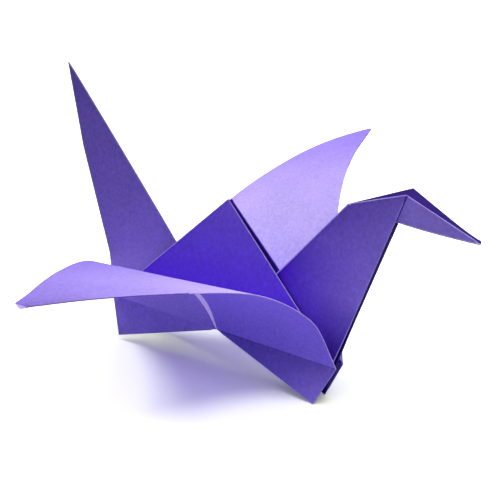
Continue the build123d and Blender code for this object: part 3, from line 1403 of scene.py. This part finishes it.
@dataclass
class Studio:
    """A pale floor, three soft lamps, and the camera."""

    lamps: tuple[Lamp, ...] = (
        Lamp("overhead_lamp", tilt=0, turn=0, spread=100, strength=1.3),
        Lamp("left_lamp", tilt=36.5, turn=182, spread=20, strength=1.15),
        Lamp("right_lamp", tilt=17, turn=-28, spread=20, strength=1.0),
    )
    floor_size: float = 16.0
    near_bounce: tuple[float, float, float] = (0.48, 0.42, 0.80)
    far_bounce: tuple[float, float, float] = (0.10, 0.10, 0.12)
    near_reach: float = 0.08
    far_reach: float = 0.20
    floor_gain: tuple[float, float, float] = (1.60, 1.66, 1.32)
    floor_glow: tuple[float, float, float] = (0.11, 0.105, 0.12)
    surround: tuple[float, float, float] = (0.04, 0.04, 0.10)
    # The camera, fitted to the bird's corners in the photograph
    camera_place: tuple[float, float, float] = (0.09911, -0.14800, 0.09371)
    camera_aim: tuple[float, float, float] = (0.003720, 0.001520, 0.031505)
    camera_roll: float = 3.362
    lens: float = 60.878
    sensor: float = 36.0
    clip_start: float = 0.01

    def build(self) -> None:
        """Makes the floor, the lamps, the surroundings and the camera."""
        self._floor()
        self._lamps()
        self._surround()
        self._camera()

    @staticmethod
    def _seen_plainly(tree: Tree) -> Socket:
        """Tells the rays that show the backdrop from those that only carry light.

        Args:
            tree: The tree of the floor or of the surroundings.

        Returns:
            1 for rays from the camera, and for those that a mirror or glass passes on, or else 0.
        """
        camera = tree.node("ShaderNodeLightPath", output="Is Camera Ray")
        seen = camera + camera.sibling("Is Glossy Ray") + camera.sibling("Is Transmission Ray")
        return seen.clamped()

    def _floor(self) -> None:
        """A plain floor, white to the eye and greyer in the light that it throws back."""
        half = self.floor_size / 2
        mesh = bpy.data.meshes.new("floor")
        corners = [(-half, -half, 0), (half, -half, 0), (half, half, 0), (-half, half, 0)]
        mesh.from_pydata(corners, [], [(0, 1, 2, 3)])
        floor = bpy.data.objects.new("floor", mesh)
        bpy.context.scene.collection.objects.link(floor)
        material = bpy.data.materials.new("white_floor")
        tree = Tree.of(material)
        place = tree.node("ShaderNodeTexCoord", output="Object")
        reach = (tree.vector_math("LENGTH", place) - self.near_reach) / (self.far_reach - self.near_reach)
        bounce = tree.mixed("RGBA", reach.clamped(), (*self.near_bounce, 1), (*self.far_bounce, 1))
        bounced = tree.node("ShaderNodeBsdfDiffuse", inputs={"Color": bounce})
        lit = tree.node("ShaderNodeBsdfDiffuse", inputs={"Color": (*self.floor_gain, 1)})
        glow = tree.node("ShaderNodeEmission", inputs={"Color": (*self.floor_glow, 1), "Strength": 1.0})
        seen = tree.node("ShaderNodeAddShader", inputs={0: lit, 1: glow})
        tree.end("ShaderNodeOutputMaterial", tree.node("ShaderNodeMixShader", inputs={
            0: self._seen_plainly(tree), 1: bounced, 2: seen,
        }))
        mesh.materials.append(material)

    def _lamps(self) -> None:
        """A broad lamp overhead, and two smaller soft lamps to the left and to the right of it."""
        for lamp in self.lamps:
            data = bpy.data.lights.new(lamp.name, "SUN")
            data.energy = lamp.strength
            data.angle = radians(lamp.spread)
            holder = bpy.data.objects.new(lamp.name, data)
            bpy.context.scene.collection.objects.link(holder)
            holder.matrix_world = (
                Matrix.Rotation(radians(lamp.turn), 4, "Z") @ Matrix.Rotation(radians(lamp.tilt), 4, "Y")
            )

    def _surround(self) -> None:
        """Dim cool light from all around, in front of a white backdrop."""
        world = bpy.data.worlds.new("studio")
        tree = Tree.of(world)
        dim = tree.node("ShaderNodeBackground", inputs={"Color": (*self.surround, 1), "Strength": 1.0})
        white = tree.node("ShaderNodeBackground", inputs={"Color": (1, 1, 1, 1), "Strength": 1.0})
        tree.end("ShaderNodeOutputWorld", tree.node("ShaderNodeMixShader", inputs={
            0: self._seen_plainly(tree), 1: dim, 2: white,
        }))
        bpy.context.scene.world = world

    def _camera(self) -> None:
        """The camera, at the angle of the photograph."""
        data = bpy.data.cameras.new("camera")
        data.sensor_width = self.sensor
        data.lens = self.lens
        data.clip_start = self.clip_start
        camera = bpy.data.objects.new("camera", data)
        bpy.context.scene.collection.objects.link(camera)
        place, aim = Vector(self.camera_place), Vector(self.camera_aim)
        turn = (aim - place).to_track_quat("-Z", "Y").to_matrix().to_4x4()
        roll = Matrix.Rotation(radians(self.camera_roll), 4, "Z")
        camera.matrix_world = Matrix.Translation(place) @ turn @ roll
        bpy.context.scene.camera = camera


@dataclass
class FlappingBird:
    """The whole bird, folded from one sheet and stood on its feet."""

    plan: FoldPlan
    finish: PaperFinish = field(default_factory=PaperFinish)
    # How far the far wing's tip stays inside the solid's box
    clearance: float = 0.02 * MM
    # Folds sharper than this keep a sharp rim
    sharp_angle: float = 25.0

    def build(self) -> bpy.types.Object:
        """Folds the bird and stands it where the solid stands.

        Returns:
            The finished piece.
        """
        near_wing = Wing(
            self.plan, Side.NEAR, root_angle=70.4, tip_angle=11.7, start_share=-0.10, end_share=0.53,
            sweep_angle=8.5, swing_angle=35.0, mid_bank_angle=0.6, tip_bank_angle=-1.3,
            tip_twist_angle=-16.0, tip_width=1.8 * MM, tip_loss=1.05 * MM,
            leading_bulge=Bulge(1.5 * MM, 0.18, 0.13, soft=False), rear_bulge=Bulge(1.25 * MM, 0.6, 0.4),
            inner_depth=(-1.0, -0.5, 0.3, 0.55, 0.4, 0.25, 0.3, 0.35, 0.42),
            leading_depth=(-1.2, -1.2, -1.2, -0.82, -0.62, -0.18, 0.09, 0.23, 0.43),
            inner_shade=(1.0, 0.95, 0.92, 0.85, 0.88, 0.88, 0.86, 0.8, 0.75),
            leading_shade=(1.0, 1.0, 1.0, 1.0, 1.0, 0.95, 0.93, 0.78, 0.6),
        )
        far_wing = Wing(
            self.plan, Side.FAR, root_angle=68.2, tip_angle=9.4, start_share=-0.02, end_share=0.89,
            sweep_angle=5.9, swing_angle=20.2, mid_bank_angle=14.7, tip_bank_angle=0.7,
            tip_width=0.8 * MM, tip_droop=0.0,
            leading_bulge=Bulge(0.7 * MM, 0.62, 0.35, soft=False), rear_bulge=Bulge(1.0 * MM, 0.45, 0.22),
            inner_depth=(-1.2, -1.0, -0.63, -0.31, 0.14, 0.36, 0.45),
            inner_shade=(1.05, 1.05, 1.05, 1.02, 0.985, 0.96, 0.92),
        )
        folder = Folder(self.plan.sheet, self.finish.material())
        plan = self.plan
        for part in (Hump(plan), LowerBody(plan), Neck(plan), Tail(plan), near_wing, far_wing):
            part.fold(folder)
            log.info("%s folded, %d stretches and folds so far", type(part).__name__, len(folder.meshes))
        bird = folder.gathered("folded_paper_bird")
        self._stand(bird.data)
        bird.data.shade_smooth()
        bird.data.set_sharp_from_angle(angle=radians(self.sharp_angle))
        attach(bird, "root")
        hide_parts(SHEET_NODE)
        return bird

    def _stand(self, mesh: bpy.types.Mesh) -> None:
        """Levels the feet, and moves the mesh to where the solid's beak, tail and far wing end.

        Args:
            mesh: The bird's mesh.
        """
        mesh.transform(Matrix.Rotation(radians(self.plan.lean_back), 4, "Y"))
        low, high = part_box(SHEET_NODE)
        points = [vertex.co for vertex in mesh.vertices]
        own_low = Vector([min(point[axis] for point in points) for axis in range(3)])
        own_high = Vector([max(point[axis] for point in points) for axis in range(3)])
        shift = (low + high) / 2 - (own_low + own_high) / 2
        shift.y = high.y - own_high.y - self.clearance
        shift.z = low.z - own_low.z
        mesh.transform(Matrix.Translation(shift))
        log.info("own size %s, solid's size %s", own_high - own_low, high - low)


def main() -> None:
    """Builds the bird and the studio around it."""
    logging.basicConfig(level=logging.INFO, format="%(name)s: %(message)s")
    bpy.context.scene.view_settings.view_transform = "Standard"
    bird = FlappingBird(FoldPlan()).build()
    triangles = sum(len(face.vertices) - 2 for face in bird.data.polygons)
    log.info("%s has %d triangles", bird.name, triangles)
    Studio().build()


if __name__ == "__main__":
    main()
